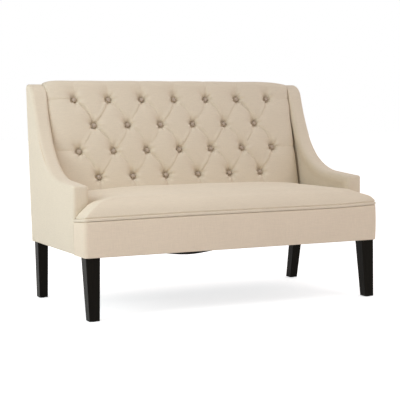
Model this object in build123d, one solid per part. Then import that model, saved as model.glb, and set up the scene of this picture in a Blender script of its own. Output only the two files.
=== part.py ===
from build123d import *
import math
import os

# High back settee: tight T-shaped seat, diamond-tufted back between two swooping arms
# that rise into wings, four tapered legs. Millimetres, +Z up, front towards -Y.
# The origin is on the floor, below the centre of the settee's bounding box.

# ---------------------------------------------------------------- driving dimensions
# Upholstered body
BODY_WIDTH = 1360.0  # over the two outside arms
BODY_DEPTH = 727.0  # apron face to the rearmost line of the back
BODY_BASE = 251.0  # lower edge of the covers above the floor
COVER = 6.0  # batting and cloth over the frame
CORNER_R = 22.0  # upright front corners of apron and seat
SOFT_GAP = 0.3  # between soft pieces that press on each other

# Legs
FOOT_GLIDE_H = 3.0
FOOT_GLIDE_R = 11.0
LEG_TOP = 253.0
FRONT_LEG_TOP = (60.0, 55.0)  # across, front to back
FRONT_LEG_FOOT = (43.0, 42.0)
FRONT_LEG_TOP_INSET = (9.0, 14.0)  # from the outside arm, from the apron face
FRONT_LEG_FOOT_INSET = (16.0, 0.0)
REAR_LEG_TOP = (47.0, 46.0)
REAR_LEG_FOOT = (38.0, 44.0)
REAR_LEG_TOP_INSET = (7.0, 19.0)  # from the outside arm, from the rear edge of the base
REAR_LEG_FOOT_INSET = (22.0, -13.0)
LEG_CHAMFER = 1.5
LEG_PLATE = (42.0, 40.0, 3.0)
LEG_BOLT_R = 4.0
LEG_BOLT_IN_LEG = 45.0
LEG_BOLT_IN_RAIL = 12.0
BOLT_CLEARANCE = 0.2
FRONT_BOLT_Y = 45.0  # from the apron face
REAR_BOLT_Y = 45.0  # from the rear edge of the base

# Seat frame
FRAME_BASE = 256.0
RAIL_HEIGHT = 135.0
RAIL = 20.0
PLY = 15.0
STRETCHER_HEIGHT = 70.0
STRETCHER_SPACING = 426.0
CORNER_BLOCK = 110.0
CORNER_BLOCK_HEIGHT = 60.0

# Suspension and deck
WEBBING = 2.0
STRAP_WIDTH = 60.0
SEAT_STRAPS = 9
CROSS_STRAPS = 3
DECK_CLOTH = 1.0
DUST_CLOTH = 1.0
DUST_MARGIN = 3.0

# Seat
WELT_HEIGHT = 13.0
WELT_PROUD = 2.0
WELT_DEPTH = 8.0
APRON_TOP = 398.0
SEAT_CROWN = 496.0  # top of the seat at mid width
SEAT_SIDE = 470.0  # where the seat meets the inside arms
SEAT_BACK = 480.0  # where the seat meets the back
SEAT_CROWN_SETBACK = 300.0  # crown line behind the apron face
SEAT_LIP = 474.0  # top of the rounded front lip
SEAT_LIP_SETBACK = 42.0
SEAT_EAR_FLAT = 80.0  # width over which each ear rolls down
EAR_BULGE = 9.0
LIP_BULGE = 13.0

# Arms and wings, outline seen from the side
ARM_THICK = 70.0
ARM_SETBACK = 125.0  # arm front behind the apron face
ARM_TOP_FALL = 4.13  # degrees, the flat arm top falls towards the front
ARM_CORNER_R = 9.0
SWOOP_START = (422.0, 540.0)  # forwards of the rearmost line, above the floor
SWOOP_END = (167.0, 705.0)
WING_NECK = (86.0, 890.0)
WING_TOP = 938.0
WING_REAR_R = 16.0
ARM_POST = 40.0
BOXING_CHAMFER = 3.0
BOXING_REAR_Z = 905.0  # where boxing and back pad meet the outside back

# Back
REAR_RAKE = 4.1  # degrees, outside back
PAD_RAKE = 14.14  # degrees, inside back
PAD_FACE = (198.0, 478.0)  # a point of the inside back: forwards of the rearmost line, above the floor
PAD_THICK = 56.0
PAD_BOTTOM = 440.0
PAD_TOP = 957.0
PAD_FRONT_R = 34.0
PAD_REAR_R = 20.0
BACK_RAIL_TOP = 925.0
BACK_RAIL_HEIGHT = 60.0
BACK_LOWER_RAIL_BASE = 400.0
BACK_UPRIGHT = 50.0
BACK_UPRIGHT_SPACING = 406.0
BACK_STRAPS = 4

# Tufting
BUTTON_ROWS = (6, 7, 6, 7)  # from the seat upwards
BUTTON_PITCH = 161.5
ROW_PITCH = 117.0  # along the raked face
FIRST_ROW = 60.4  # along the raked face, above the seat line
BUTTON_R = 11.5
BUTTON_EDGE = 2.5
BUTTON_DOME = 4.5
BUTTON_SLOPE = 52.0  # degrees, slope of the dome
BUTTON_SIDES = 12
BUTTON_CLEARANCE = 1.5
BUTTON_DEPTH = 31.0
DIMPLE_R = 40.0
PLEAT_HALF_WIDTH = 56.0
PLEAT_DEPTH = 19.0
EDGE_HALF_WIDTH = 26.0  # softened side edges of the pad
EDGE_DEPTH = 10.0

# ---------------------------------------------------------------- derived positions
HALF = BODY_WIDTH / 2
FACE_Y = (WELT_PROUD - BODY_DEPTH) / 2
REAR_Y = FACE_Y + BODY_DEPTH
PLY_OUT = HALF - COVER
PLY_IN = PLY_OUT - PLY
RAIL_IN = PLY_IN - RAIL
ARM_IN = HALF - ARM_THICK
ARM_FRONT_Y = FACE_Y + ARM_SETBACK
ARM_TOP_LENGTH = BODY_DEPTH - SWOOP_START[0] - ARM_SETBACK
ARM_FRONT_Z = SWOOP_START[1] - ARM_TOP_LENGTH * math.tan(math.radians(ARM_TOP_FALL))
RAIL_TOP = FRAME_BASE + RAIL_HEIGHT
CROSS_TOP = RAIL_TOP + 2 * WEBBING
DECK_TOP = CROSS_TOP + DECK_CLOTH
WELT_TOP = APRON_TOP + WELT_HEIGHT
REAR_SLOPE = math.tan(math.radians(REAR_RAKE))
PAD_SLOPE = math.tan(math.radians(PAD_RAKE))
REAR_REF_Z = PAD_TOP - PAD_REAR_R
LOW = (Align.MIN, Align.MIN, Align.MIN)


def rear_y(z, inset=0.0):
    """Y of the raked outside back at height z, moved forwards by inset."""
    return REAR_Y + (z - REAR_REF_Z) * REAR_SLOPE - inset


def pad_y(z, depth=0.0):
    """Y of the raked inside back at height z, depth further back."""
    return REAR_Y - PAD_FACE[0] + (z - PAD_FACE[1]) * PAD_SLOPE + depth


REAR_BASE_Y = rear_y(BODY_BASE)
FRAME_REAR_IN = rear_y(FRAME_BASE, COVER) - RAIL
FRAME_FRONT_IN = FACE_Y + COVER + RAIL
BACK_FRAME = PAD_THICK + WEBBING


def block(x, y, z):
    """Box between pairs of limits along X, Y and Z."""
    return Pos(x[0], y[0], z[0]) * Box(x[1] - x[0], y[1] - y[0], z[1] - z[0], align=LOW)


def across(profile, x_min, x_max):
    """Extrude a profile of Y and Z from x_min to x_max."""
    return Pos(x_min, 0, 0) * extrude(Plane.YZ * profile, x_max - x_min)


def polygon(points):
    return make_face(Polyline(*points, close=True).edges())


def other_side(part):
    return mirror(part, about=Plane.YZ)


def round_front_corners(face, radius):
    """Round the two front corners of a plan."""
    return fillet(face.vertices().group_by(Axis.Y)[0], radius)


# ---------------------------------------------------------------- arm outline
def arm_outline():
    """Side outline of arm and wing: flat arm top, concave swoop, raked wing, rounded top."""
    bottom = BODY_BASE - 4 * COVER
    neck = (REAR_Y - WING_NECK[0], WING_NECK[1])
    front = Line((ARM_FRONT_Y, bottom), (ARM_FRONT_Y, ARM_FRONT_Z))
    arm_top = Line(front @ 1, (REAR_Y - SWOOP_START[0], SWOOP_START[1]))
    swoop = TangentArc(arm_top @ 1, (REAR_Y - SWOOP_END[0], SWOOP_END[1]), tangent=arm_top % 1)
    wing = TangentArc(swoop @ 1, neck, tangent=swoop % 1)
    lean = wing % 1
    shoulder_r = (WING_TOP - WING_NECK[1]) / (1 - lean.X)
    shoulder_end = (neck[0] + shoulder_r * lean.Y, WING_TOP)
    shoulder = TangentArc(wing @ 1, shoulder_end, tangent=lean)
    top = Line(shoulder @ 1, (rear_y(WING_TOP), WING_TOP))
    rear = Line(top @ 1, (rear_y(bottom), bottom))
    base = Line(rear @ 1, front @ 0)
    face = make_face(Curve() + [front, arm_top, swoop, wing, shoulder, top, rear, base])
    rear_top = face.vertices().sort_by(lambda v: -v.Y - v.X)[0]
    face = fillet(rear_top, WING_REAR_R)
    front_top = face.vertices().sort_by(lambda v: (v.X - ARM_FRONT_Y) ** 2 + (v.Y - ARM_FRONT_Z) ** 2)[0]
    return fillet(front_top, ARM_CORNER_R)


def below(z):
    """Large YZ face under height z."""
    return polygon([(-BODY_DEPTH, 0), (BODY_DEPTH, 0), (BODY_DEPTH, z), (-BODY_DEPTH, z)])


ARM_OUTER = arm_outline()
ARM_CORE = offset(ARM_OUTER, amount=-COVER, kind=Kind.INTERSECTION)


# ---------------------------------------------------------------- frame
def front_rail():
    half = HALF - CORNER_R
    return block((-half, half), (FACE_Y + COVER, FRAME_FRONT_IN), (FRAME_BASE, RAIL_TOP))


def rear_rail():
    profile = polygon(
        [
            (FRAME_REAR_IN, FRAME_BASE),
            (rear_y(FRAME_BASE, COVER), FRAME_BASE),
            (rear_y(RAIL_TOP, COVER), RAIL_TOP),
            (FRAME_REAR_IN, RAIL_TOP),
        ]
    )
    return across(profile, -PLY_IN, PLY_IN)


def bolt_axes():
    """Centres of the two leg bolts of the right side, front and rear."""
    x = (PLY_IN + RAIL_IN) / 2
    return [(x, FACE_Y + FRONT_BOLT_Y), (x, REAR_BASE_Y - REAR_BOLT_Y)]


def bolt_holes(z_min, z_max):
    radius = LEG_BOLT_R + BOLT_CLEARANCE
    holes = []
    for x, y in bolt_axes():
        holes.append(Pos(x, y, z_min) * Cylinder(radius, z_max - z_min, align=(Align.CENTER, Align.CENTER, Align.MIN)))
    return holes


def side_rail():
    rail = block((RAIL_IN, PLY_IN), (FRAME_FRONT_IN, FRAME_REAR_IN), (FRAME_BASE, RAIL_TOP))
    return rail - bolt_holes(FRAME_BASE, FRAME_BASE + LEG_BOLT_IN_RAIL + 1)


def seat_stretcher():
    x = STRETCHER_SPACING / 2
    return block(
        (x - RAIL / 2, x + RAIL / 2),
        (FRAME_FRONT_IN, FRAME_REAR_IN),
        (FRAME_BASE, FRAME_BASE + STRETCHER_HEIGHT),
    )


def corner_blocks():
    """Four triangular blocks in the corners of the seat frame."""
    blocks = []
    for side in (-1, 1):
        for corner_y, step in ((FRAME_FRONT_IN, CORNER_BLOCK), (FRAME_REAR_IN, -CORNER_BLOCK)):
            corner_x = side * RAIL_IN
            plan = polygon(
                [(corner_x, corner_y), (corner_x - side * CORNER_BLOCK, corner_y), (corner_x, corner_y + step)]
            )
            blocks.append(Pos(0, 0, FRAME_BASE) * extrude(plan, CORNER_BLOCK_HEIGHT, dir=(0, 0, 1)))
    return Compound(children=[b.solid() for b in blocks])


def arm_panel():
    """Ply side: arm and wing outline, with the apron part running forwards under the ear."""
    apron_part = polygon(
        [
            (FACE_Y + CORNER_R, FRAME_BASE),
            (ARM_FRONT_Y + 2 * COVER, FRAME_BASE),
            (ARM_FRONT_Y + 2 * COVER, RAIL_TOP),
            (FACE_Y + CORNER_R, RAIL_TOP),
        ]
    )
    profile = (ARM_CORE - below(FRAME_BASE)) + apron_part
    return across(profile, PLY_IN, PLY_OUT)


def arm_post():
    """Upright that carries the arm front."""
    post = polygon(
        [
            (ARM_FRONT_Y + COVER, RAIL_TOP),
            (ARM_FRONT_Y + COVER + ARM_POST, RAIL_TOP),
            (ARM_FRONT_Y + COVER + ARM_POST, WING_TOP),
            (ARM_FRONT_Y + COVER, WING_TOP),
        ]
    )
    return across(post & ARM_CORE, RAIL_IN, PLY_IN)


def back_post():
    """Wedge-shaped upright behind the inside back, from side rail to wing top."""
    top = BODY_DEPTH + BODY_BASE
    wedge = polygon(
        [
            (pad_y(RAIL_TOP, BACK_FRAME), RAIL_TOP),
            (rear_y(RAIL_TOP), RAIL_TOP),
            (rear_y(top), top),
            (pad_y(top, BACK_FRAME), top),
        ]
    )
    return across(wedge & ARM_CORE, ARM_IN, PLY_IN)


def raked_board(z_min, z_max, x_min, x_max):
    """Board of the back frame, parallel to the inside back."""
    profile = polygon(
        [
            (pad_y(z_min, BACK_FRAME), z_min),
            (pad_y(z_min, BACK_FRAME + RAIL), z_min),
            (pad_y(z_max, BACK_FRAME + RAIL), z_max),
            (pad_y(z_max, BACK_FRAME), z_max),
        ]
    )
    return across(profile, x_min, x_max)


def back_top_rail():
    """Top board, its rear face on the outside back."""
    base = BACK_RAIL_TOP - BACK_RAIL_HEIGHT
    profile = polygon(
        [
            (pad_y(base, BACK_FRAME), base),
            (rear_y(base, COVER), base),
            (rear_y(BACK_RAIL_TOP, COVER), BACK_RAIL_TOP),
            (pad_y(BACK_RAIL_TOP, BACK_FRAME), BACK_RAIL_TOP),
        ]
    )
    return across(profile, -ARM_IN, ARM_IN)


def back_lower_rail():
    base = BACK_LOWER_RAIL_BASE
    return raked_board(base, base + BACK_RAIL_HEIGHT, -ARM_IN, ARM_IN)


def back_upright():
    x = BACK_UPRIGHT_SPACING / 2
    return raked_board(
        BACK_LOWER_RAIL_BASE + BACK_RAIL_HEIGHT,
        BACK_RAIL_TOP - BACK_RAIL_HEIGHT,
        x - BACK_UPRIGHT / 2,
        x + BACK_UPRIGHT / 2,
    )


# ---------------------------------------------------------------- suspension
def seat_webbing():
    """Elastic straps from front rail to rear rail."""
    pitch = 2 * RAIL_IN / SEAT_STRAPS
    straps = []
    for i in range(SEAT_STRAPS):
        x = (i - (SEAT_STRAPS - 1) / 2) * pitch
        straps.append(
            block(
                (x - STRAP_WIDTH / 2, x + STRAP_WIDTH / 2),
                (FACE_Y + COVER, FRAME_REAR_IN + RAIL / 2),
                (RAIL_TOP, RAIL_TOP + WEBBING),
            )
        )
    return Compound(children=[s.solid() for s in straps])


def seat_cross_webbing():
    """Elastic straps from side to side, over the long ones."""
    front = ARM_FRONT_Y + COVER + ARM_POST
    rear = pad_y(RAIL_TOP, BACK_FRAME)
    pitch = (rear - front) / CROSS_STRAPS
    straps = []
    for i in range(CROSS_STRAPS):
        y = front + (i + 0.5) * pitch
        straps.append(
            block(
                (-PLY_IN, PLY_IN),
                (y - STRAP_WIDTH / 2, y + STRAP_WIDTH / 2),
                (RAIL_TOP + WEBBING, CROSS_TOP),
            )
        )
    return Compound(children=[s.solid() for s in straps])


def seat_deck_cloth():
    half = ARM_IN - SOFT_GAP
    return block((-half, half), (FACE_Y + WELT_DEPTH, pad_y(DECK_TOP)), (CROSS_TOP, DECK_TOP))


def back_webbing():
    """Elastic straps across the back frame, behind the tufted pad."""
    low = BACK_LOWER_RAIL_BASE + BACK_RAIL_HEIGHT / 2
    pitch = (BACK_RAIL_TOP - BACK_RAIL_HEIGHT - low) / BACK_STRAPS
    straps = []
    for i in range(BACK_STRAPS):
        z_min = low + (i + 0.5) * pitch
        z_max = z_min + STRAP_WIDTH
        profile = polygon(
            [
                (pad_y(z_min, PAD_THICK), z_min),
                (pad_y(z_min, BACK_FRAME), z_min),
                (pad_y(z_max, BACK_FRAME), z_max),
                (pad_y(z_max, PAD_THICK), z_max),
            ]
        )
        straps.append(across(profile, -(ARM_IN + ARM_THICK / 4), ARM_IN + ARM_THICK / 4))
    return Compound(children=[s.solid() for s in straps])


# ---------------------------------------------------------------- seat
def body_plan(inset=0.0):
    """Plan of apron and ears: full width, up to the arm fronts, front corners rounded."""
    half = HALF - inset
    face = polygon(
        [(-half, FACE_Y + inset), (half, FACE_Y + inset), (half, ARM_FRONT_Y), (-half, ARM_FRONT_Y)]
    )
    return round_front_corners(face, CORNER_R - inset)


def seat_plan(inset=0.0):
    """T-shaped plan: ears in front of the arms, body between them."""
    ears = body_plan(inset) & polygon(
        [(-HALF, FACE_Y), (HALF, FACE_Y), (HALF, ARM_FRONT_Y - SOFT_GAP), (-HALF, ARM_FRONT_Y - SOFT_GAP)]
    )
    half = ARM_IN - SOFT_GAP
    rear = pad_y(SEAT_CROWN)
    middle = polygon([(-half, ARM_FRONT_Y - ARM_THICK), (half, ARM_FRONT_Y - ARM_THICK), (half, rear), (-half, rear)])
    return ears + middle


def seat_side_profile():
    """Profile of Y and Z: rounded front lip, long crown, raked rear."""
    lip = (FACE_Y + SEAT_LIP_SETBACK, SEAT_LIP)
    crown = (FACE_Y + SEAT_CROWN_SETBACK, SEAT_CROWN)
    rear = (pad_y(SEAT_BACK) - SOFT_GAP, SEAT_BACK)
    rear_low = (pad_y(DECK_TOP) - SOFT_GAP, DECK_TOP)
    start = (FACE_Y, WELT_TOP + COVER)
    lip_mid = (FACE_Y + SEAT_LIP_SETBACK / 2 - LIP_BULGE * 0.7, (start[1] + SEAT_LIP) / 2 + LIP_BULGE * 0.5)
    edges = [
        Line((FACE_Y, DECK_TOP), start),
        ThreePointArc(start, lip_mid, lip),
        ThreePointArc(lip, crown, rear),
        Line(rear, rear_low),
        Line(rear_low, (FACE_Y, DECK_TOP)),
    ]
    return make_face(Curve() + edges)


def seat_front_profile():
    """Profile of X and Z: crowned between the arms, rolling down over the ears."""
    flat = HALF - SEAT_EAR_FLAT
    ear_mid_x = HALF - SEAT_EAR_FLAT / 2 + EAR_BULGE * 0.6
    ear_mid_z = (SEAT_SIDE + WELT_TOP) / 2 + EAR_BULGE * 0.8
    edges = [
        Line((-HALF, DECK_TOP), (-HALF, WELT_TOP)),
        ThreePointArc((-HALF, WELT_TOP), (-ear_mid_x, ear_mid_z), (-flat, SEAT_SIDE)),
        ThreePointArc((-flat, SEAT_SIDE), (0, SEAT_CROWN), (flat, SEAT_SIDE)),
        ThreePointArc((flat, SEAT_SIDE), (ear_mid_x, ear_mid_z), (HALF, WELT_TOP)),
        Line((HALF, WELT_TOP), (HALF, DECK_TOP)),
        Line((HALF, DECK_TOP), (-HALF, DECK_TOP)),
    ]
    return make_face(Curve() + edges)


def seat_cushion():
    """Tight T-seat: plan, side and front profiles intersected, with a step for the welt."""
    height = SEAT_CROWN - DECK_TOP
    plan = Pos(0, 0, DECK_TOP) * extrude(seat_plan(), height + COVER, dir=(0, 0, 1))
    side = across(seat_side_profile(), -HALF, HALF)
    front = extrude(Plane.XZ * seat_front_profile(), BODY_DEPTH, both=True)
    step_outer = extrude(body_plan(-COVER), WELT_TOP - DECK_TOP, dir=(0, 0, 1))
    step_inner = extrude(body_plan(WELT_DEPTH), WELT_TOP - DECK_TOP, dir=(0, 0, 1))
    step = Pos(0, 0, DECK_TOP) * (step_outer - step_inner)
    return plan & side & front - step


def seat_welt():
    """Welt between apron and seat: flat band with rounded upper and lower edges."""
    outer = extrude(body_plan(-WELT_PROUD), WELT_HEIGHT, dir=(0, 0, 1))
    outer = chamfer(outer.faces().sort_by(Axis.Z)[-1].edges() + outer.faces().sort_by(Axis.Z)[0].edges(), WELT_PROUD)
    inner = extrude(body_plan(WELT_DEPTH), WELT_HEIGHT, dir=(0, 0, 1))
    cut = block((-HALF - COVER, HALF + COVER), (ARM_FRONT_Y - SOFT_GAP, REAR_Y), (0, WELT_HEIGHT))
    return Pos(0, 0, APRON_TOP) * (outer - inner - cut)


def apron_band():
    """Front cover below the welt, with its returns to the outside arms."""
    height = APRON_TOP - BODY_BASE
    outer = extrude(body_plan(), height, dir=(0, 0, 1))
    inner = extrude(body_plan(COVER), height, dir=(0, 0, 1))
    band = outer - inner
    for side in (-1, 1):
        x = sorted((side * PLY_OUT, side * HALF))
        band += block(x, (ARM_FRONT_Y, ARM_FRONT_Y + COVER), (0, height))
    return Pos(0, 0, BODY_BASE) * band


# ---------------------------------------------------------------- arm covers
def inner_arm():
    """Foam pad of the inside arm, up to the back frame."""
    top = BODY_DEPTH + BODY_BASE
    front_part = polygon(
        [
            (ARM_FRONT_Y, DECK_TOP),
            (pad_y(DECK_TOP, PAD_THICK), DECK_TOP),
            (pad_y(top, PAD_THICK), top),
            (ARM_FRONT_Y, top),
        ]
    )
    return across(front_part & ARM_CORE, ARM_IN, RAIL_IN)


def outside_arm():
    """Cover of the outer face, inside the boxing."""
    return across(ARM_CORE - below(BODY_BASE), PLY_OUT, HALF)


def arm_boxing():
    """Band over the edge of arm and wing, from the seat ear to the outside back."""
    band = ARM_OUTER - ARM_CORE
    band = band - below(APRON_TOP)
    rear_low = polygon(
        [(0, 0), (BODY_DEPTH, 0), (BODY_DEPTH, BOXING_REAR_Z), (rear_y(BOXING_REAR_Z, 1.5 * COVER), BOXING_REAR_Z)]
    )
    band = across(band - rear_low, ARM_IN, HALF)
    outline = ARM_OUTER.face().outer_wire()
    rims = [e for e in band.edges() if is_rim(e, outline)]
    return chamfer(rims, BOXING_CHAMFER)


def is_rim(edge, outline):
    """True for an edge of constant X that lies on the side outline."""
    middle = edge @ 0.5
    flat = abs((edge @ 0).X - (edge @ 1).X) < 0.01
    return flat and outline.distance_to(Vertex(middle.Y, middle.Z, 0)) < 0.01


def outside_back():
    """Cover of the rear, full width, up to the boxing."""
    profile = polygon(
        [
            (rear_y(BODY_BASE, COVER), BODY_BASE),
            (rear_y(BODY_BASE), BODY_BASE),
            (rear_y(BOXING_REAR_Z), BOXING_REAR_Z),
            (rear_y(BOXING_REAR_Z, COVER), BOXING_REAR_Z),
        ]
    )
    return across(profile, -HALF, HALF)


# ---------------------------------------------------------------- tufted back
PAD_PLANE = Plane(
    origin=(0, pad_y(PAD_FACE[1]), PAD_FACE[1]),
    x_dir=(1, 0, 0),
    z_dir=(0, -math.cos(math.radians(PAD_RAKE)), math.sin(math.radians(PAD_RAKE))),
)


def button_rows():
    """Button centres on the raked face, row by row from the seat upwards."""
    rows = []
    for r, count in enumerate(BUTTON_ROWS):
        up = FIRST_ROW + r * ROW_PITCH
        rows.append([((i - (count - 1) / 2) * BUTTON_PITCH, up) for i in range(count)])
    return rows


def pleat_lines():
    """Start and end of every pleat: diagonals, then those that run out to the edges."""
    rows = button_rows()
    pleats = []
    for low_row, high_row in zip(rows, rows[1:]):
        for a in low_row:
            for b in high_row:
                if abs(abs(a[0] - b[0]) - BUTTON_PITCH / 2) < 1:
                    pleats.append((a, b))
    for x, up in rows[0]:
        pleats.append(((x, up), (x, -2 * ROW_PITCH)))
    for x, up in rows[-1]:
        pleats.append(((x, up), (x, up + 2 * ROW_PITCH)))
    for row in rows:
        if len(row) == max(BUTTON_ROWS):
            for x, up in (row[0], row[-1]):
                pleats.append(((x, up), (math.copysign(HALF, x), up)))
    return pleats


def pleat_cutter(start, end, w=PLEAT_HALF_WIDTH, d=PLEAT_DEPTH):
    """Cusp-shaped groove, w wide to each side and d deep, between two points of the raked face."""
    dx, dy = end[0] - start[0], end[1] - start[1]
    section_plane = Plane(origin=(start[0], start[1], 0), x_dir=(-dy, dx, 0), z_dir=(dx, dy, 0))
    edges = [
        ThreePointArc((-w, 1), (-0.42 * w, -0.3 * d), (0, -d)),
        ThreePointArc((0, -d), (0.42 * w, -0.3 * d), (w, 1)),
        Line((w, 1), (w, 2 * BUTTON_DEPTH)),
        Line((w, 2 * BUTTON_DEPTH), (-w, 2 * BUTTON_DEPTH)),
        Line((-w, 2 * BUTTON_DEPTH), (-w, 1)),
    ]
    section = make_face(Curve() + edges)
    return extrude(section_plane * section, math.hypot(dx, dy), dir=(dx, dy, 0))


def pad_blank():
    """Back pad before tufting: raked front, top rolled over the top rail."""
    front_top = (pad_y(PAD_TOP), PAD_TOP)
    points = [
        (pad_y(PAD_BOTTOM), PAD_BOTTOM),
        front_top,
        (rear_y(PAD_TOP), PAD_TOP),
        (rear_y(BOXING_REAR_Z), BOXING_REAR_Z),
        (rear_y(BOXING_REAR_Z, COVER), BOXING_REAR_Z),
        (rear_y(BACK_RAIL_TOP, COVER), BACK_RAIL_TOP),
        (pad_y(BACK_RAIL_TOP, PAD_THICK), BACK_RAIL_TOP),
        (pad_y(PAD_BOTTOM, PAD_THICK), PAD_BOTTOM),
    ]
    profile = polygon(points)
    tops = profile.vertices().group_by(Axis.Y)[-1].sort_by(Axis.X)
    profile = fillet(tops[0], PAD_FRONT_R)
    rear_top = profile.vertices().group_by(Axis.Y)[-1].sort_by(Axis.X)[-1]
    profile = fillet(rear_top, PAD_REAR_R)
    half = ARM_IN - SOFT_GAP
    return across(profile, -half, half)


def back_pad():
    pad = pad_blank()
    cutters = [pleat_cutter(a, b) for a, b in pleat_lines()]
    for x in (SOFT_GAP - ARM_IN, ARM_IN - SOFT_GAP):
        cutters.append(pleat_cutter((x, -2 * ROW_PITCH), (x, PAD_TOP), EDGE_HALF_WIDTH, EDGE_DEPTH))
    dimple = Cone(BUTTON_R + BUTTON_CLEARANCE, DIMPLE_R, BUTTON_DEPTH)
    for row in button_rows():
        for x, up in row:
            cutters.append(Pos(x, up, -BUTTON_DEPTH / 2) * dimple)
    return pad - [PAD_PLANE * c for c in cutters]


def back_buttons():
    """Covered buttons with a low dome, one at the bottom of each dimple."""
    rim = RegularPolygon(BUTTON_R, BUTTON_SIDES)
    dome = Pos(0, 0, BUTTON_EDGE) * extrude(rim, BUTTON_DOME, taper=BUTTON_SLOPE)
    button = extrude(rim, BUTTON_EDGE) + dome
    solids = []
    for row in button_rows():
        for x, up in row:
            solids.append((PAD_PLANE * (Pos(x, up, -BUTTON_DEPTH) * button)).solid())
    return Compound(children=solids)


# ---------------------------------------------------------------- underside and legs
def taper(foot, top):
    """Profile of a leg between the limits of its foot and of its top."""
    return polygon([(foot[0], FOOT_GLIDE_H), (foot[1], FOOT_GLIDE_H), (top[1], LEG_TOP), (top[0], LEG_TOP)])


def leg(top_size, foot_size, top_corner, foot_corner):
    """Tapered leg: front and side profiles intersected, placed by the outer front corners of top and foot."""
    (top_w, top_d), (foot_w, foot_d) = top_size, foot_size
    (top_x, top_y), (foot_x, foot_y) = top_corner, foot_corner
    front = taper((foot_x - foot_w, foot_x), (top_x - top_w, top_x))
    side = taper((foot_y, foot_y + foot_d), (top_y, top_y + top_d))
    body = extrude(Plane.XZ * front, BODY_DEPTH, both=True) & across(side, 0, HALF)
    long_edges = body.edges().filter_by(lambda e: e.length > LEG_TOP / 2)
    return chamfer(long_edges, LEG_CHAMFER) - bolt_holes(LEG_TOP - LEG_BOLT_IN_LEG - 1, LEG_TOP)


def front_leg_corners():
    top = (HALF - FRONT_LEG_TOP_INSET[0], FACE_Y + FRONT_LEG_TOP_INSET[1])
    foot = (HALF - FRONT_LEG_FOOT_INSET[0], FACE_Y + FRONT_LEG_FOOT_INSET[1])
    return top, foot


def rear_leg_corners():
    top = (HALF - REAR_LEG_TOP_INSET[0], REAR_BASE_Y - REAR_LEG_TOP_INSET[1] - REAR_LEG_TOP[1])
    foot = (HALF - REAR_LEG_FOOT_INSET[0], REAR_BASE_Y - REAR_LEG_FOOT_INSET[1] - REAR_LEG_FOOT[1])
    return top, foot


def front_leg():
    return leg(FRONT_LEG_TOP, FRONT_LEG_FOOT, *front_leg_corners())


def rear_leg():
    return leg(REAR_LEG_TOP, REAR_LEG_FOOT, *rear_leg_corners())


def plate_outlines(margin=0.0):
    """Plan of the four leg plates."""
    w, d = LEG_PLATE[0] + 2 * margin, LEG_PLATE[1] + 2 * margin
    outlines = []
    for x, y in bolt_axes():
        for side in (-1, 1):
            outlines.append(Pos(side * x, y, 0) * Rectangle(w, d))
    return outlines


def leg_plates():
    """Steel plates between legs and frame."""
    solids = []
    radius = LEG_BOLT_R + BOLT_CLEARANCE
    for outline in plate_outlines():
        plate = outline - outline.location * Circle(radius)
        solids.append((Pos(0, 0, LEG_TOP) * extrude(plate, LEG_PLATE[2], dir=(0, 0, 1))).solid())
    return Compound(children=solids)


def leg_bolts():
    solids = []
    length = LEG_BOLT_IN_LEG + LEG_PLATE[2] + LEG_BOLT_IN_RAIL
    for x, y in bolt_axes():
        for side in (-1, 1):
            bolt = Cylinder(LEG_BOLT_R, length, align=(Align.CENTER, Align.CENTER, Align.MIN))
            solids.append((Pos(side * x, y, LEG_TOP - LEG_BOLT_IN_LEG) * bolt).solid())
    return Compound(children=solids)


def foot_glides():
    solids = []
    pairs = ((front_leg_corners()[1], FRONT_LEG_FOOT), (rear_leg_corners()[1], REAR_LEG_FOOT))
    for (x, y), (w, d) in pairs:
        for side in (-1, 1):
            glide = Cylinder(FOOT_GLIDE_R, FOOT_GLIDE_H, align=(Align.CENTER, Align.CENTER, Align.MIN))
            solids.append((Pos(side * (x - w / 2), y + d / 2, 0) * glide).solid())
    return Compound(children=solids)


def dust_cover():
    """Black cloth under the seat frame, cut out round the leg plates."""
    half = PLY_IN
    plan = polygon(
        [
            (-half, FACE_Y + CORNER_R),
            (half, FACE_Y + CORNER_R),
            (half, rear_y(FRAME_BASE, 2 * COVER)),
            (-half, rear_y(FRAME_BASE, 2 * COVER)),
        ]
    )
    for outline in plate_outlines(DUST_MARGIN):
        plan = plan - outline
    return Pos(0, 0, FRAME_BASE - DUST_CLOTH) * extrude(plan, DUST_CLOTH, dir=(0, 0, 1))


# ---------------------------------------------------------------- export
SINGLE = {
    "front_rail": front_rail,
    "rear_rail": rear_rail,
    "corner_blocks": corner_blocks,
    "back_top_rail": back_top_rail,
    "back_lower_rail": back_lower_rail,
    "seat_webbing": seat_webbing,
    "seat_cross_webbing": seat_cross_webbing,
    "seat_deck_cloth": seat_deck_cloth,
    "back_webbing": back_webbing,
    "seat_cushion": seat_cushion,
    "seat_welt": seat_welt,
    "apron_band": apron_band,
    "outside_back": outside_back,
    "back_pad": back_pad,
    "back_buttons": back_buttons,
    "leg_plates": leg_plates,
    "leg_bolts": leg_bolts,
    "foot_glides": foot_glides,
    "dust_cover": dust_cover,
}
PAIRED = {
    "side_rail": side_rail,
    "seat_stretcher": seat_stretcher,
    "arm_panel": arm_panel,
    "arm_post": arm_post,
    "back_post": back_post,
    "back_upright": back_upright,
    "inner_arm": inner_arm,
    "outside_arm": outside_arm,
    "arm_boxing": arm_boxing,
    "leg_front": front_leg,
    "leg_rear": rear_leg,
}

os.makedirs("parts", exist_ok=True)
for name, make in SINGLE.items():
    export_step(make(), f"parts/{name}.step")
for name, make in PAIRED.items():
    right = make()
    export_step(right, f"parts/{name}_right.step")
    export_step(other_side(right), f"parts/{name}_left.step")
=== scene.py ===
import math

import bmesh
import bpy
import numpy as np
from mathutils import Matrix, Vector, noise
from mathutils.geometry import delaunay_2d_cdt

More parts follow.
